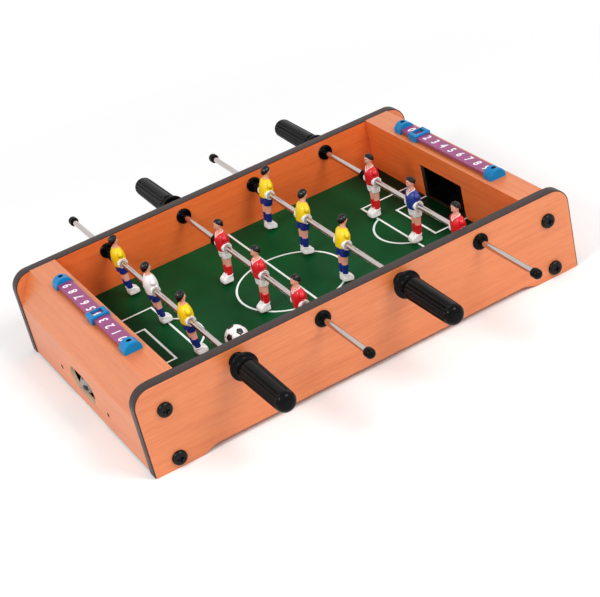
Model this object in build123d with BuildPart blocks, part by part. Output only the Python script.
"""Tabletop foosball table, in millimetres.

The origin is on the floor under the middle of the pitch. X runs along the length, -Y is the front side
panel, +Z is up. Rods are numbered from the left, 1 to 4; rods 1 and 3 have their handles at the front,
rods 2 and 4 at the rear.
"""

from build123d import *

import os
from math import cos, radians, sin

# Casework
LENGTH = 510.0
WIDTH = 330.0
HEIGHT = 98.0
PANEL_T = 12.5
PANEL_CORNER_R = 20.0
TRIM_T = 1.2
TRIM_LIFT = 1.0
FOOT_LENGTH = 49.0
FOOT_RAMP = 24.0
FOOT_RISE = 6.0
BOARD_T = 4.0
PITCH_Z = 35.6
PITCH_T = 4.0
GROOVE_DEPTH = 3.0
GROOVE_CLEARANCE = 0.2
RETURN_DEPTH = 52.0
GOAL_WIDTH = 81.0
GOAL_HEIGHT = 40.4
TOP_BOARD_DEPTH = 30.5
END_RECESS = 1.0
SLOPE_DROP = 36.0
END_BOARD_GAP = 2.0

# Ball return
TRAY_TOP_Z = 14.0
EXIT_WIDTH = 63.0
EXIT_HEIGHT = 27.0
EXIT_LIP = 3.0
BLOCK_T = 12.0
GUIDE_T = 16.0
GUIDE_HEIGHT = 20.0
GUIDE_Y = 62.5
BALL_R = 12.7
BALL_SEAT = 0.05
MATCH_BALL_AHEAD = 38.7
MATCH_BALL_Y = -73.8
SPARE_BALL_Y = 5.0

# Panel bolts and wood screws
BOLT_INSET = 29.0
BOLT_LOW_Z = 11.0
BOLT_TOP_DROP = 30.0
BOLT_HEAD_R = 8.0
BOLT_HEAD_H = 4.0
BOLT_HEAD_ROUND = 3.0
BOLT_R = 2.5
BOLT_BITE = 9.0
BOLT_CLEARANCE = 0.1
CROSS_LENGTH = 7.0
CROSS_WIDTH = 1.8
CROSS_DEPTH = 1.8
SCREW_HEAD_R = 2.7
SCREW_HEAD_H = 1.6
SCREW_R = 1.3
SCREW_CLEARANCE = 0.1
SCREW_SUNK = 2.0
SCREW_BITE = 9.0
SCREW_CROSS_LENGTH = 3.2
SCREW_CROSS_WIDTH = 0.8
SCREW_CROSS_DEPTH = 0.9

# Rods, bushes, handles and caps
INNER_ROD_X = 46.0
ROD_TO_GOAL = 60.0
ROD_DROP = 16.3
ROD_R = 3.2
ROD_WALL = 0.8
BUSH_R = 5.8
BUSH_FLANGE_R = 9.0
BUSH_FLANGE_T = 2.5
BUSH_FLANGE_ROUND = 0.8
BUSH_CLEARANCE = 0.05
ROD_CLEARANCE = 0.08
HANDLE_TRAVEL = 44.0
CAP_TRAVEL = 48.0
FIT_CLEARANCE = 0.05
CAP_R = 5.3
CAP_LENGTH = 11.0
CAP_END_T = 2.5
CAP_ROUND = 4.2
HANDLE_LENGTH = 90.5
HANDLE_FLANGE_R = 15.0
HANDLE_FLANGE_T = 3.5
HANDLE_NECK_R = 10.0
HANDLE_NECK_LENGTH = 8.0
HANDLE_SHOULDER = 5.0
HANDLE_R = 12.0
HANDLE_TIP_R = 11.0
HANDLE_DOME = 8.0
HANDLE_END_T = 9.0
HANDLE_GROOVES = 7
HANDLE_GROOVE_SPREAD = 126.0
HANDLE_GROOVE_R = 1.7
HANDLE_GROOVE_DEPTH = 1.0
HANDLE_GROOVE_END = 9.0
BUMPER_R = 6.5
BUMPER_LENGTH = 8.0
BUMPER_GAP = 0.3
BUMPER_TRAVEL = 45.1
REST_SHIFTS = (33.0, 33.0, 36.0, 40.0)
REST_TILTS = (0.0, 1.0, 13.0, 2.0)

# Players: heights are from the rod's axis, X is how far a section is ahead, D its half depth, W its half width
BOSS_R = 5.6
BOSS_HALF = 10.6
HEAD_Z = 25.4
HEAD_R = 5.2
HEAD_HALF = 6.0
NECK_ANGLE = 58.0
NECK_Z = 12.5
COLLAR_Z = 17.0
COLLAR_D = 3.2
COLLAR_W = 4.6
SHOULDER_Z = 14.4
SHOULDER_D = 5.2
SHOULDER_W = 8.4
CHEST_Z = 10.0
CHEST_D = 6.8
CHEST_W = 9.0
WAIST_Z = -1.0
WAIST_D = 6.2
WAIST_W = 8.6
SLEEVE_R = 2.3
SLEEVE_Y = 7.8
SLEEVE_Z = 12.8
ELBOW_BACK = 1.0
ELBOW_Y = 8.8
ELBOW_Z = 8.8
FOREARM_R = 1.6
HAND_FORWARD = 1.2
HAND_Y = 8.9
HAND_Z = 6.4
HIP_Z = -7.0
HIP_D = 6.3
HIP_W = 8.6
HEM_Z = -15.0
HEM_D = 5.4
HEM_W = 7.8
LEG_Y = 3.3
THIGH_D = 3.8
THIGH_W = 3.2
KNEE_Z = -24.0
KNEE_X = 0.6
KNEE_D = 3.5
KNEE_W = 3.0
ANKLE_X = 2.0
ANKLE_D = 3.2
ANKLE_W = 2.8
FOOT_CLEARANCE = 2.9
SHOE_LENGTH = 13.0
SHOE_WIDTH = 12.8
SHOE_HEIGHT = 8.0
SHOE_FORWARD = 5.3
SHOE_ROUND = 3.5
SHOE_TOP_LENGTH = 9.2
SHOE_TOP_WIDTH = 12.2
SHOE_TOP_FORWARD = 3.6

# Score counters
SCORE_LENGTH = 193.0
BAR_WIDTH = 16.0
BAR_T = 3.0
BAR_GAP = 2.6
BAR_INSERT = 12.0
HOLDER_LENGTH = 13.5
HOLDER_WIDTH = 20.0
HOLDER_HEIGHT = 11.3
HOLDER_SPRING = 3.0
HOLDER_SCREW_INSET = 7.0
HOLDER_ROUND = 1.5
SOCKET_CLEARANCE = 0.05
SLIDER_LENGTH = 15.0
SLIDER_WIDTH = 21.0
SLIDER_HEIGHT = 8.4
SLIDER_CLEARANCE = 0.3
WINDOW_LENGTH = 10.5
WINDOW_WIDTH = 12.0
DIGIT_SPACING = 16.4
LEFT_SCORE = 4
RIGHT_SCORE = 1
LAST_DIGIT = 9

# Worked out from the sizes above
INNER_WIDTH = WIDTH - 2 * PANEL_T
ROD_Z = HEIGHT - ROD_DROP
BUSH_FACE = WIDTH / 2 + BUSH_FLANGE_T
HANDLE_SEAT = BUSH_FACE + HANDLE_TRAVEL
CAP_SEAT = BUSH_FACE + CAP_TRAVEL
GOAL_X = LENGTH / 2 - RETURN_DEPTH
BOLT_X = LENGTH / 2 - BOLT_INSET
OUTER_ROD_X = GOAL_X - ROD_TO_GOAL
ROD_X = (-OUTER_ROD_X, -INNER_ROD_X, INNER_ROD_X, OUTER_ROD_X)
BUMPER_STOP = INNER_WIDTH / 2 - BUSH_FLANGE_T - BUMPER_TRAVEL
PLAYER_PITCH = BUMPER_STOP - BUMPER_LENGTH - BUMPER_GAP - BOSS_HALF
CAP_SIDE = (1, -1, 1, -1)
FACING = (1, -1, 1, -1)
WALL_BACK_X = GOAL_X + BOARD_T
END_X = LENGTH / 2 - END_RECESS
TOP_Z = HEIGHT - BOARD_T
EXIT_Z = TRAY_TOP_Z + EXIT_LIP + EXIT_HEIGHT / 2
SCORE_X = GOAL_X + TOP_BOARD_DEPTH / 2
HOLDER_TIP = SCORE_LENGTH / 2
HOLDER_FACE = HOLDER_TIP - HOLDER_LENGTH
HOLDER_SCREW_Y = HOLDER_FACE + HOLDER_SCREW_INSET
BAR_HALF = HOLDER_FACE + BAR_INSERT
FIRST_DIGIT_Y = DIGIT_SPACING * LAST_DIGIT / 2
SOLE_Z = PITCH_Z + FOOT_CLEARANCE - ROD_Z
ANKLE_Z = SOLE_Z + SHOE_HEIGHT / 2
LIP_REACH = (BALL_R**2 - (BALL_R + BALL_SEAT - EXIT_LIP) ** 2) ** 0.5
SIDES = (("left", -1), ("right", 1))
FACES = (("front", -1), ("rear", 1))

os.makedirs("parts", exist_ok=True)


def save(piece, name):
    """Label a finished piece and write its file."""
    piece.part.label = name
    export_step(piece.part, f"parts/{name}.step")


def side_plane(y, outward):
    """An upright plane at y, facing +Y or -Y, with its own x along +X or -X and its own y along Z."""
    return Plane(origin=(0, y, 0), x_dir=(-outward, 0, 0), z_dir=(0, outward, 0))


def axis_plane(base):
    """The plane that holds a base plane's x direction and its normal, for profiles turned about it."""
    return Plane(origin=base.origin, x_dir=base.x_dir, z_dir=-base.y_dir)


def on_panel(x, z, outward):
    """A plane on the outer face of the front or rear panel, with its origin at x and z."""
    return Plane(origin=(x, outward * WIDTH / 2, z), x_dir=(-outward, 0, 0), z_dir=(0, outward, 0))


def end_profile():
    """Corners of the end boards, outside and inside, on the right end: top, shoulder, knee and foot."""
    outside = [
        Vector(GOAL_X, HEIGHT),
        Vector(GOAL_X + TOP_BOARD_DEPTH, HEIGHT),
        Vector(END_X, HEIGHT - SLOPE_DROP),
        Vector(END_X, END_BOARD_GAP),
    ]
    inward = []
    for start, end in zip(outside, outside[1:]):
        run = (end - start).normalized()
        inward.append(Vector(run.Y, -run.X))
    inside = [outside[0] + inward[0] * BOARD_T]
    for corner, before, after in zip(outside[1:], inward, inward[1:]):
        inside.append(corner + (before + after) * (BOARD_T / (1 + before.dot(after))))
    inside.append(outside[-1] + inward[-1] * BOARD_T)
    return outside, inside


OUTSIDE, INSIDE = end_profile()
BOLT_POINTS = [(x, z) for x in (-BOLT_X, BOLT_X) for z in (BOLT_LOW_Z, HEIGHT - BOLT_TOP_DROP)]
ROD_POINTS = [(x, ROD_Z) for x in ROD_X]


# Side panels, with their edge trim
def outline_lines(inset, bottom):
    """The panel's ends and rounded top, as an open run of lines set in from the overall outline."""
    end = LENGTH / 2 - inset
    turn = LENGTH / 2 - PANEL_CORNER_R
    shoulder = HEIGHT - PANEL_CORNER_R
    radius = PANEL_CORNER_R - inset
    Line((-end, bottom), (-end, shoulder))
    CenterArc((-turn, shoulder), radius, 90, 90)
    Line((-turn, HEIGHT - inset), (turn, HEIGHT - inset))
    CenterArc((turn, shoulder), radius, 0, 90)
    Line((end, shoulder), (end, bottom))


for face, sign in FACES:
    outer = side_plane(sign * WIDTH / 2, sign)
    core_end = LENGTH / 2 - TRIM_T
    foot_end = LENGTH / 2 - FOOT_LENGTH
    ramp_end = foot_end - FOOT_RAMP

    with BuildPart() as panel:
        with BuildSketch(outer):
            with BuildLine():
                outline_lines(TRIM_T, 0)
                for end in (-1, 1):
                    Line((end * core_end, 0), (end * foot_end, 0))
                    Spline(
                        (end * foot_end, 0),
                        (end * ramp_end, FOOT_RISE),
                        tangents=[(-end, 0), (-end, 0)],
                    )
                Line((-ramp_end, FOOT_RISE), (ramp_end, FOOT_RISE))
            make_face()
        extrude(amount=-PANEL_T)
        with BuildSketch(outer):
            with Locations(*ROD_POINTS):
                Circle(BUSH_R + BUSH_CLEARANCE)
            with Locations(*BOLT_POINTS):
                Circle(BOLT_R + BOLT_CLEARANCE)
        extrude(amount=-PANEL_T, mode=Mode.SUBTRACT)
        with BuildSketch(outer.offset(-PANEL_T)):
            with Locations((0, PITCH_Z - PITCH_T / 2)):
                Rectangle(2 * GOAL_X, PITCH_T)
        extrude(amount=GROOVE_DEPTH, mode=Mode.SUBTRACT)
    save(panel, f"{face}_side_panel")

    with BuildPart() as trim:
        with BuildSketch(outer):
            with BuildLine():
                outline_lines(0, TRIM_LIFT)
                outline_lines(TRIM_T, TRIM_LIFT)
                for end in (-1, 1):
                    Line((end * core_end, TRIM_LIFT), (end * LENGTH / 2, TRIM_LIFT))
            make_face()
        extrude(amount=-PANEL_T)
    save(trim, f"{face}_edge_trim")


# Pitch
with BuildPart() as pitch:
    with BuildSketch(Plane.XY.offset(PITCH_Z)):
        Rectangle(2 * GOAL_X, INNER_WIDTH + 2 * (GROOVE_DEPTH - GROOVE_CLEARANCE))
    extrude(amount=-PITCH_T)
save(pitch, "pitch_board")


# End boards, goal walls and the ball return inside
for side, sign in SIDES:
    end_face = Plane(origin=(sign * END_X, 0, 0), x_dir=(0, sign, 0), z_dir=(sign, 0, 0))
    screw_points = [(y * GUIDE_Y, TRAY_TOP_Z + GUIDE_HEIGHT / 2) for y in (-1, 1)]
    for i, name in enumerate(("top", "slope", "end")):
        corners = [OUTSIDE[i], OUTSIDE[i + 1], INSIDE[i + 1], INSIDE[i]]
        with BuildPart() as board:
            with BuildSketch(Plane.XZ):
                with BuildLine():
                    Polyline(*[(sign * c.X, c.Y) for c in corners], close=True)
                make_face()
            extrude(amount=INNER_WIDTH / 2, both=True)
            if name == "top":
                with BuildSketch(Plane.XY.offset(HEIGHT)):
                    with Locations(*[(sign * SCORE_X, y * HOLDER_SCREW_Y) for y in (-1, 1)]):
                        Circle(SCREW_R)
                extrude(amount=-BOARD_T, mode=Mode.SUBTRACT)
            if name == "end":
                with BuildSketch(end_face):
                    with Locations((0, EXIT_Z)):
                        SlotOverall(EXIT_WIDTH, EXIT_HEIGHT)
                    with Locations(*screw_points):
                        Circle(SCREW_R + SCREW_CLEARANCE)
                extrude(amount=-BOARD_T, mode=Mode.SUBTRACT)
                with BuildSketch(end_face):
                    with Locations(*screw_points):
                        Circle(SCREW_HEAD_R + SCREW_CLEARANCE)
                extrude(amount=-SCREW_SUNK, mode=Mode.SUBTRACT)
        save(board, f"{side}_{name}_board")

    tray_bottom = TRAY_TOP_Z - BOARD_T
    with BuildPart() as goal_wall:
        with BuildSketch(Plane.YZ.offset(sign * GOAL_X)):
            with Locations((0, (TOP_Z + tray_bottom) / 2)):
                Rectangle(INNER_WIDTH, TOP_Z - tray_bottom)
            with Locations((0, PITCH_Z + GOAL_HEIGHT / 2)):
                Rectangle(GOAL_WIDTH, GOAL_HEIGHT, mode=Mode.SUBTRACT)
        extrude(amount=sign * BOARD_T)
    save(goal_wall, f"{side}_goal_wall")

    end_inner_x = END_X - BOARD_T
    room_x = sign * (WALL_BACK_X + end_inner_x) / 2
    room = end_inner_x - WALL_BACK_X
    with BuildPart() as tray:
        with BuildSketch(Plane.XY.offset(TRAY_TOP_Z)):
            with Locations((room_x, 0)):
                Rectangle(room, INNER_WIDTH - 2 * BLOCK_T)
        extrude(amount=-BOARD_T)
    save(tray, f"{side}_ball_tray")

    with BuildPart() as guides:
        with BuildSketch(Plane.XY.offset(TRAY_TOP_Z)):
            with Locations((room_x, -GUIDE_Y), (room_x, GUIDE_Y)):
                Rectangle(room, GUIDE_T)
        extrude(amount=GUIDE_HEIGHT)
        with BuildSketch(end_face.offset(-BOARD_T)):
            with Locations(*screw_points):
                Circle(SCREW_R)
        extrude(amount=-SCREW_BITE, mode=Mode.SUBTRACT)
    save(guides, f"{side}_ball_guides")

    with BuildPart() as blocks:
        for face, outward in FACES:
            seat = side_plane(outward * INNER_WIDTH / 2, outward)
            block_corners = [
                Vector(WALL_BACK_X, END_BOARD_GAP),
                INSIDE[3],
                INSIDE[2],
                INSIDE[1],
                Vector(WALL_BACK_X, TOP_Z),
            ]
            with BuildSketch(seat):
                with BuildLine():
                    Polyline(*[(-outward * sign * c.X, c.Y) for c in block_corners], close=True)
                make_face()
            extrude(amount=-BLOCK_T)
            with BuildSketch(seat):
                with Locations(*[p for p in BOLT_POINTS if p[0] * -outward * sign > 0]):
                    Circle(BOLT_R)
            extrude(amount=-BOLT_BITE, mode=Mode.SUBTRACT)
    save(blocks, f"{side}_corner_blocks")


# Panel bolts: domed heads outside, shanks through the panels into the corner blocks
with BuildPart() as bolt:
    with BuildSketch(Plane.XY):
        Circle(BOLT_HEAD_R)
    extrude(amount=BOLT_HEAD_H)
    fillet(bolt.edges().sort_by(Axis.Z)[-1], BOLT_HEAD_ROUND)
    with BuildSketch(Plane.XY.offset(BOLT_HEAD_H)):
        Rectangle(CROSS_LENGTH, CROSS_WIDTH)
        Rectangle(CROSS_WIDTH, CROSS_LENGTH)
    extrude(amount=-CROSS_DEPTH, mode=Mode.SUBTRACT)
    with BuildSketch(Plane.XY):
        Circle(BOLT_R)
    extrude(amount=-(PANEL_T + BOLT_BITE))
with BuildPart() as panel_bolts:
    with Locations(*[on_panel(x, z, outward) for face, outward in FACES for x, z in BOLT_POINTS]):
        add(bolt.part)
save(panel_bolts, "panel_bolts")


# Wood screws, heads sunk in the end boards and in the score holders
def wood_screw(shank):
    """A cross-headed screw with its seat at the origin and its shank along -Z."""
    with BuildPart() as screw:
        with BuildSketch(Plane.XY):
            Circle(SCREW_HEAD_R)
        extrude(amount=SCREW_HEAD_H)
        with BuildSketch(Plane.XY.offset(SCREW_HEAD_H)):
            Rectangle(SCREW_CROSS_LENGTH, SCREW_CROSS_WIDTH)
            Rectangle(SCREW_CROSS_WIDTH, SCREW_CROSS_LENGTH)
        extrude(amount=-SCREW_CROSS_DEPTH, mode=Mode.SUBTRACT)
        with BuildSketch(Plane.XY):
            Circle(SCREW_R)
        extrude(amount=-shank)
    return screw


end_screw = wood_screw(BOARD_T - SCREW_SUNK + SCREW_BITE)
with BuildPart() as end_screws:
    for side, sign in SIDES:
        seat_x = sign * (END_X - SCREW_SUNK)
        seat_z = TRAY_TOP_Z + GUIDE_HEIGHT / 2
        for y in (-GUIDE_Y, GUIDE_Y):
            with Locations(Plane(origin=(seat_x, y, seat_z), x_dir=(0, sign, 0), z_dir=(sign, 0, 0))):
                add(end_screw.part)
save(end_screws, "end_board_screws")

holder_top = HEIGHT + HOLDER_HEIGHT
score_screw = wood_screw(holder_top - SCREW_SUNK - TOP_Z)
with BuildPart() as score_screws:
    for side, sign in SIDES:
        for y in (-HOLDER_SCREW_Y, HOLDER_SCREW_Y):
            with Locations((sign * SCORE_X, y, holder_top - SCREW_SUNK)):
                add(score_screw.part)
save(score_screws, "score_screws")


# Rod bushes through the panels, with a ring on each inside
with BuildPart() as bush:
    with BuildSketch(Plane.XY):
        Circle(BUSH_FLANGE_R)
    extrude(amount=BUSH_FLANGE_T)
    fillet(bush.edges().sort_by(Axis.Z)[-1], BUSH_FLANGE_ROUND)
    with BuildSketch(Plane.XY):
        Circle(BUSH_R)
    extrude(amount=-(PANEL_T + BUSH_FLANGE_T))
    with BuildSketch(Plane.XY.offset(BUSH_FLANGE_T)):
        Circle(ROD_R + ROD_CLEARANCE)
    extrude(amount=-(PANEL_T + 2 * BUSH_FLANGE_T), mode=Mode.SUBTRACT)
with BuildPart() as bushes:
    with Locations(*[on_panel(x, z, outward) for face, outward in FACES for x, z in ROD_POINTS]):
        add(bush.part)
save(bushes, "rod_bushes")

with BuildPart() as rings:
    for face, outward in FACES:
        inner = side_plane(outward * INNER_WIDTH / 2, outward)
        with BuildSketch(inner):
            with Locations(*ROD_POINTS):
                Circle(BUSH_FLANGE_R)
                Circle(BUSH_R + BUSH_CLEARANCE, mode=Mode.SUBTRACT)
        extrude(amount=-BUSH_FLANGE_T)
save(rings, "bush_rings")


# Score counters
for side, sign in SIDES:
    base = Plane(origin=(sign * SCORE_X, 0, HEIGHT))

    with BuildPart() as bar:
        with BuildSketch(base.offset(BAR_GAP)):
            Rectangle(BAR_WIDTH, 2 * BAR_HALF)
            with Locations((0, -HOLDER_SCREW_Y), (0, HOLDER_SCREW_Y)):
                Circle(SCREW_R + SCREW_CLEARANCE, mode=Mode.SUBTRACT)
        extrude(amount=BAR_T)
    save(bar, f"{side}_score_bar")

    with BuildPart() as holders:
        for y_end in (-1, 1):
            tip = Plane(
                origin=(sign * SCORE_X, y_end * HOLDER_TIP, HEIGHT),
                x_dir=(-y_end, 0, 0),
                z_dir=(0, y_end, 0),
            )
            with BuildSketch(tip):
                with BuildLine():
                    sides = Polyline(
                        (HOLDER_WIDTH / 2, HOLDER_SPRING),
                        (HOLDER_WIDTH / 2, 0),
                        (-HOLDER_WIDTH / 2, 0),
                        (-HOLDER_WIDTH / 2, HOLDER_SPRING),
                    )
                    ThreePointArc(sides @ 0, (0, HOLDER_HEIGHT), sides @ 1)
                make_face()
            extrude(amount=-HOLDER_LENGTH)
        ends = holders.faces().group_by(Axis.Y)
        rims = (ends[0] + ends[-1]).edges().filter_by_position(
            Axis.Z, HEIGHT, HEIGHT + HOLDER_HEIGHT, inclusive=(False, True)
        )
        fillet(rims, HOLDER_ROUND)
        with BuildSketch(base.offset(BAR_GAP - SOCKET_CLEARANCE)):
            Rectangle(BAR_WIDTH + 2 * SOCKET_CLEARANCE, 2 * (BAR_HALF + SOCKET_CLEARANCE))
        extrude(amount=BAR_T + 2 * SOCKET_CLEARANCE, mode=Mode.SUBTRACT)
        with BuildSketch(base.offset(HOLDER_HEIGHT)):
            with Locations((0, -HOLDER_SCREW_Y), (0, HOLDER_SCREW_Y)):
                Circle(SCREW_HEAD_R + SCREW_CLEARANCE)
        extrude(amount=-SCREW_SUNK, mode=Mode.SUBTRACT)
        with BuildSketch(base.offset(HOLDER_HEIGHT)):
            with Locations((0, -HOLDER_SCREW_Y), (0, HOLDER_SCREW_Y)):
                Circle(SCREW_R + SCREW_CLEARANCE)
        extrude(amount=-HOLDER_HEIGHT, mode=Mode.SUBTRACT)
    save(holders, f"{side}_score_holders")

    score = LEFT_SCORE if sign < 0 else RIGHT_SCORE
    slider_y = sign * (FIRST_DIGIT_Y - DIGIT_SPACING * score)
    slider_base = Plane(origin=(sign * SCORE_X, slider_y, HEIGHT + SLIDER_CLEARANCE))
    with BuildPart() as slider:
        with BuildSketch(slider_base):
            Rectangle(SLIDER_WIDTH, SLIDER_LENGTH)
        extrude(amount=SLIDER_HEIGHT)
        fillet(slider.faces().sort_by(Axis.Z)[-1].edges(), HOLDER_ROUND)
        with BuildSketch(slider_base.offset(BAR_GAP - 2 * SLIDER_CLEARANCE)):
            Rectangle(BAR_WIDTH + 2 * SLIDER_CLEARANCE, SLIDER_LENGTH)
        extrude(amount=BAR_T + 2 * SLIDER_CLEARANCE, mode=Mode.SUBTRACT)
        with BuildSketch(slider_base.offset(BAR_GAP)):
            Rectangle(WINDOW_WIDTH, WINDOW_LENGTH)
        extrude(amount=SLIDER_HEIGHT, mode=Mode.SUBTRACT)
    save(slider, f"{side}_score_slider")


# Balls
def ball_at(x, y, floor_z, name):
    """A ball that rests on a floor at a height."""
    with BuildPart() as ball:
        with Locations((x, y, floor_z + BALL_SEAT + BALL_R)):
            Sphere(BALL_R)
    save(ball, name)


ball_at(MATCH_BALL_AHEAD - OUTER_ROD_X, MATCH_BALL_Y, PITCH_Z, "match_ball")
ball_at(-(END_X - BOARD_T - LIP_REACH - BALL_SEAT), SPARE_BALL_Y, TRAY_TOP_Z, "spare_ball")


# Players, with oval sections from the top down
SHIRT = (
    (COLLAR_Z, 0, COLLAR_D, COLLAR_W),
    (SHOULDER_Z, 0, SHOULDER_D, SHOULDER_W),
    (CHEST_Z, 0, CHEST_D, CHEST_W),
    (WAIST_Z, 0, WAIST_D, WAIST_W),
)
SHORTS = (
    (WAIST_Z, 0, WAIST_D, WAIST_W),
    (HIP_Z, 0, HIP_D, HIP_W),
    (HEM_Z, 0, HEM_D, HEM_W),
)
LEG = (
    (HEM_Z, 0, THIGH_D, THIGH_W),
    (KNEE_Z, KNEE_X, KNEE_D, KNEE_W),
    (ANKLE_Z, ANKLE_X, ANKLE_D, ANKLE_W),
)
FORMS = ((SHIRT, 0), (SHORTS, 0), (LEG, -LEG_Y), (LEG, LEG_Y))


def arm_joints(side):
    """Shoulder, elbow and hand of one arm, in the player's own frame."""
    shoulder = Vector(0, side * SLEEVE_Y, SLEEVE_Z)
    elbow = Vector(-ELBOW_BACK, side * ELBOW_Y, ELBOW_Z)
    hand = Vector(HAND_FORWARD, side * HAND_Y, HAND_Z)
    return shoulder, elbow, hand


def round_bar(length, radius):
    """A bar along +Z with a ball end at the origin and at its length."""
    with BuildPart() as bar:
        with BuildSketch(Plane.XZ):
            with BuildLine():
                CenterArc((0, 0), radius, -90, 90)
                Line((radius, 0), (radius, length))
                CenterArc((0, length), radius, 0, 90)
                Line((0, length + radius), (0, -radius))
            make_face()
        revolve(axis=Axis.Z)
    return bar.part


SHOULDER, ELBOW, HAND = arm_joints(1)
SLEEVE = round_bar((ELBOW - SHOULDER).length, SLEEVE_R)
FOREARM = round_bar((HAND - ELBOW).length, FOREARM_R)


def player(base, name):
    """A player moulded in one piece, bored for the rod, facing its base plane's x direction."""
    profile = axis_plane(base)
    with BuildPart() as figure:
        for sections, aside in FORMS:
            for height, ahead, depth, width in sections:
                with BuildSketch(base.offset(height)):
                    with Locations((ahead, aside)):
                        Ellipse(depth, width)
            loft()
        for side in (-1, 1):
            shoulder, elbow, hand = [base.from_local_coords(joint) for joint in arm_joints(side)]
            with Locations(Plane(origin=shoulder, z_dir=elbow - shoulder)):
                add(SLEEVE)
            with Locations(Plane(origin=elbow, z_dir=hand - elbow)):
                add(FOREARM)
        with BuildSketch(base.offset(SOLE_Z)):
            with Locations((SHOE_FORWARD, 0)):
                RectangleRounded(SHOE_LENGTH, SHOE_WIDTH, SHOE_ROUND)
        with BuildSketch(base.offset(SOLE_Z + SHOE_HEIGHT)):
            with Locations((SHOE_TOP_FORWARD, 0)):
                RectangleRounded(SHOE_TOP_LENGTH, SHOE_TOP_WIDTH, SHOE_ROUND)
        loft()
        with BuildSketch(profile):
            with BuildLine():
                crown = 90 + NECK_ANGLE
                skull = EllipticalCenterArc((0, HEAD_Z), HEAD_R, HEAD_HALF, -NECK_ANGLE, arc_size=crown)
                nape = skull @ 0
                Polyline(nape, (nape.X, NECK_Z), (0, NECK_Z), skull @ 1)
            make_face()
        revolve(axis=Axis(base.origin, base.z_dir))
        boss = Plane(origin=base.origin, x_dir=base.x_dir, z_dir=base.y_dir)
        with BuildSketch(boss):
            Circle(BOSS_R)
        extrude(amount=BOSS_HALF, both=True)
        with BuildSketch(boss):
            Circle(ROD_R + FIT_CLEARANCE)
        extrude(amount=CHEST_W + BOSS_HALF, both=True, mode=Mode.SUBTRACT)
    save(figure, name)


# Rods
def rod(number, x, cap_side, facing, shift, tilt):
    """One rod with its tube, handle, cap, three players and the bumper ring behind the rear one."""
    def along(reach):
        """Y at a distance from the middle player, counted towards the cap."""
        return cap_side * (shift + reach)

    def across(reach, outward):
        """A plane square to the rod at that distance, facing the cap or the handle."""
        return Plane(origin=(x, along(reach), ROD_Z), x_dir=(1, 0, 0), z_dir=(0, outward, 0))

    tube_start = -(HANDLE_SEAT + HANDLE_LENGTH - HANDLE_END_T)
    tube_end = CAP_SEAT + CAP_LENGTH - CAP_END_T
    with BuildPart() as tube:
        with BuildSketch(across(tube_start, cap_side)):
            Circle(ROD_R)
            Circle(ROD_R - ROD_WALL, mode=Mode.SUBTRACT)
        extrude(amount=tube_end - tube_start)
    save(tube, f"rod_{number}_tube")

    seat = across(CAP_SEAT, cap_side)
    with BuildPart() as cap:
        with BuildSketch(seat):
            Circle(CAP_R)
        extrude(amount=CAP_LENGTH)
        fillet(cap.faces().sort_by(Axis((0, 0, 0), seat.z_dir))[-1].edges(), CAP_ROUND)
        with BuildSketch(seat):
            Circle(ROD_R + FIT_CLEARANCE)
        extrude(amount=CAP_LENGTH - CAP_END_T, mode=Mode.SUBTRACT)
    save(cap, f"rod_{number}_end_cap")

    grip = across(-HANDLE_SEAT, -cap_side)
    shoulder = HANDLE_FLANGE_T + HANDLE_NECK_LENGTH
    dome_start = HANDLE_LENGTH - HANDLE_DOME
    with BuildPart() as handle:
        with BuildSketch(axis_plane(grip)):
            with BuildLine():
                Polyline(
                    (0, HANDLE_LENGTH),
                    (0, 0),
                    (HANDLE_FLANGE_R, 0),
                    (HANDLE_FLANGE_R, HANDLE_FLANGE_T),
                    (HANDLE_NECK_R, HANDLE_FLANGE_T),
                    (HANDLE_NECK_R, shoulder),
                    (HANDLE_R, shoulder + HANDLE_SHOULDER),
                    (HANDLE_TIP_R, dome_start),
                )
                Spline((HANDLE_TIP_R, dome_start), (0, HANDLE_LENGTH), tangents=[(0, 1), (-1, 0)])
            make_face()
        revolve(axis=Axis(grip.origin, grip.z_dir))
        bank = HANDLE_GROOVE_SPREAD
        groove_reach = HANDLE_R + HANDLE_GROOVE_R - HANDLE_GROOVE_DEPTH
        with BuildSketch(grip.offset(shoulder)):
            for middle in (0, 180):
                with PolarLocations(groove_reach, HANDLE_GROOVES, middle - bank / 2, bank, endpoint=True):
                    Circle(HANDLE_GROOVE_R)
        extrude(amount=HANDLE_LENGTH - shoulder - HANDLE_GROOVE_END, mode=Mode.SUBTRACT)
        with BuildSketch(grip):
            Circle(ROD_R + FIT_CLEARANCE)
        extrude(amount=HANDLE_LENGTH - HANDLE_END_T, mode=Mode.SUBTRACT)
    save(handle, f"rod_{number}_handle")

    with BuildPart() as bumper:
        with BuildSketch(across(cap_side * (PLAYER_PITCH + BOSS_HALF + BUMPER_GAP), 1)):
            Circle(BUMPER_R)
            Circle(ROD_R + ROD_CLEARANCE, mode=Mode.SUBTRACT)
        extrude(amount=BUMPER_LENGTH)
    save(bumper, f"rod_{number}_bumper")

    up = (sin(radians(tilt)), 0, cos(radians(tilt)))
    forward = (facing * cos(radians(tilt)), 0, -facing * sin(radians(tilt)))
    for place, step in (("front", -1), ("middle", 0), ("rear", 1)):
        y = along(0) + step * PLAYER_PITCH
        base = Plane(origin=(x, y, ROD_Z), x_dir=forward, z_dir=up)
        player(base, f"rod_{number}_{place}_player")


for i, x in enumerate(ROD_X):
    rod(i + 1, x, CAP_SIDE[i], FACING[i], REST_SHIFTS[i], REST_TILTS[i])
